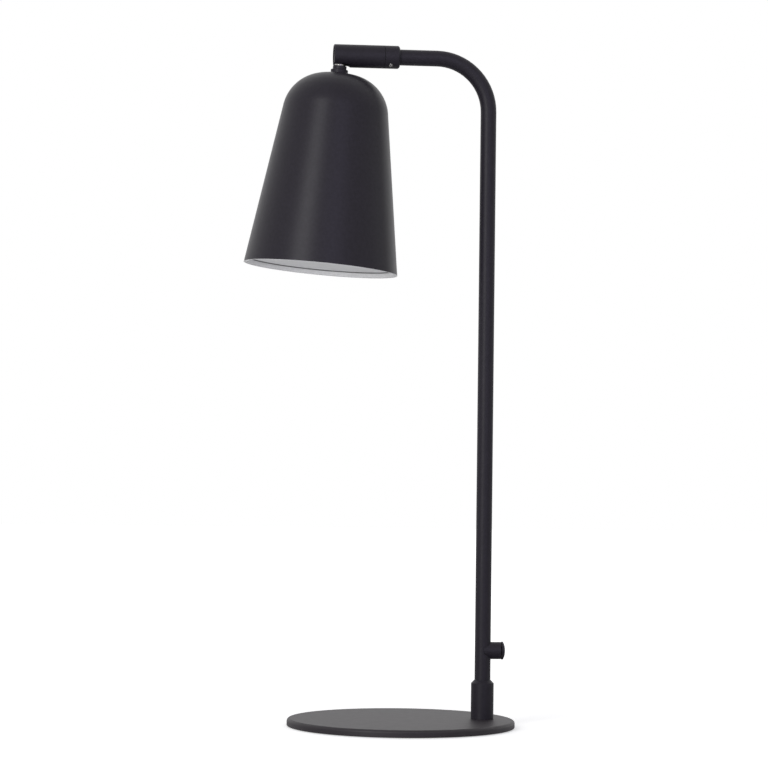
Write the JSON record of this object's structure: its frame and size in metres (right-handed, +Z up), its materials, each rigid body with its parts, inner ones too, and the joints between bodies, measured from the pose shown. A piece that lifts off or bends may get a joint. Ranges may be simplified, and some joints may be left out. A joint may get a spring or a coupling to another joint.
{
  "type": "dome shade desk lamp",
  "caption": "Desk lamp with a round steel foot, a bent tube stem, a push switch, a swivel and tilt joint and a bell-shaped metal shade with a recessed diffuser.",
  "frame": {"origin": "centre of the foot's underside, on the surface that the lamp stands on", "axes": "+Z up; the arm and shade reach towards -X, the push button points towards +X"},
  "size_m": [0.209, 0.172, 0.5157],
  "materials": {
    "black_paint": "fine matt powder coat",
    "foot_paint": "fine textured matt powder coat",
    "shade_paint": "spun aluminium, satin black paint outside, white inside",
    "white_paint": "satin white",
    "opal_diffuser": "frosted opal",
    "foam_pad": "fine cell foam rubber",
    "black_rubber": "matt moulded rubber",
    "nickel_steel": "nickel plated, turned",
    "zinc_screw": "zinc plated",
    "brass": "turned brass",
    "black_plastic": "moulded",
    "nylon": "natural nylon",
    "bare_aluminium": "die cast",
    "board_white": "solder mask",
    "led_yellow": "phosphor",
    "lead_sheath": "smooth sheath",
    "black_wire": "blackened spring wire"
  },
  "bodies": {
    "stand": {"base_plate": "foot_paint", "base_pad": "foam_pad", "stem_screw": "zinc_screw", "base_collar": "black_paint", "stem_tube": "black_paint", "cable_grommet": "black_rubber", "switch_boss": "black_paint", "switch_module": "black_plastic", "button_guide": "brass", "rear_collar": "black_paint", "grub_screw": "nickel_steel", "swivel_spindle": "brass", "stop_pin": "nickel_steel", "seam_washer": "nylon", "thrust_washer": "nickel_steel", "spring_washer": "nickel_steel", "lock_nut": "nickel_steel", "stem_lead": "lead_sheath"},
    "swivel": {"joint_housing": "black_paint", "swivel_bush": "brass", "tilt_screw": "nickel_steel", "tilt_washers": "nylon"},
    "head": {"knuckle": "nickel_steel", "neck_collar": "black_paint", "shade_flange": "black_paint", "shade_shell": "shade_paint", "lock_washer": "nickel_steel", "coupling_nut": "nickel_steel", "carrier_tube": "nickel_steel", "heat_sink": "bare_aluminium", "carrier_nuts": "nickel_steel", "led_board": "board_white", "led_chips": "led_yellow", "board_screws": "nickel_steel", "reflector": "white_paint", "retaining_ring": "black_wire", "diffuser": "opal_diffuser", "head_lead": "lead_sheath"},
    "button": {"push_button": "black_paint"}
  },
  "joints": [
    {"name": "shade_swivel", "type": "hinge", "parent": "stand", "child": "swivel", "pos_m": [-0.0516, 0, 0.507], "axis": [1, 0, 0], "range_deg": [-90, 90]},
    {"name": "shade_tilt", "type": "hinge", "parent": "swivel", "child": "head", "pos_m": [-0.0516, 0, 0.507], "axis": [0, 1, 0], "range_deg": [-12, 85]},
    {"name": "button_push", "type": "slide", "parent": "stand", "child": "button", "axis": [-1, 0, 0], "range_m": [0, 0.0006], "stiffness_N_per_m": 2500, "springref_m": -0.0006}
  ]
}
